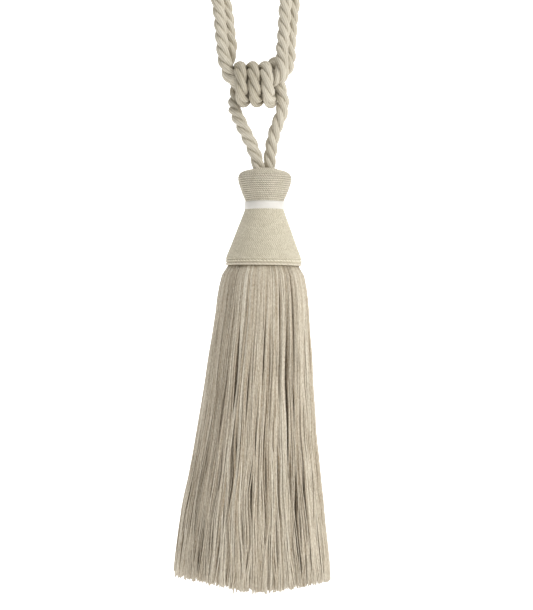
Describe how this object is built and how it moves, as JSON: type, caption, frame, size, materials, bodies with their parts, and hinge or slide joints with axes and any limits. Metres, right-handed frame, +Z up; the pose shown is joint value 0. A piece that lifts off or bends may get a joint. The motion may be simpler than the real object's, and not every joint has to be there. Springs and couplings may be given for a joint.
{
  "type": "curtain tieback tassel",
  "caption": "Curtain tieback tassel: twisted rope loop, wrapped rope knot, corded bell-shaped head with a satin band, and a long flared yarn skirt.",
  "frame": {"origin": "inner top of the cord loop, where a hook holds it", "axes": "+Z up along the hanging tassel, -Y towards the front of the knot, +X to the viewer's right"},
  "size_m": [0.1039, 0.1041, 0.4276],
  "materials": {
    "cord_yarn": "champagne three-strand twisted rope, soft sheen",
    "head_yarn": "champagne yarn wound in level turns",
    "band_satin": "ivory satin ribbon",
    "skirt_yarn": "taupe-beige fine lustrous yarn"
  },
  "bodies": {
    "root": {"embrace_cord": "cord_yarn", "hanging_cord": "cord_yarn", "head_cup": "head_yarn", "neck_band": "band_satin", "head_cone": "head_yarn", "rim_cord": "head_yarn", "tassel_skirt": "skirt_yarn"}
  },
  "joints": []
}
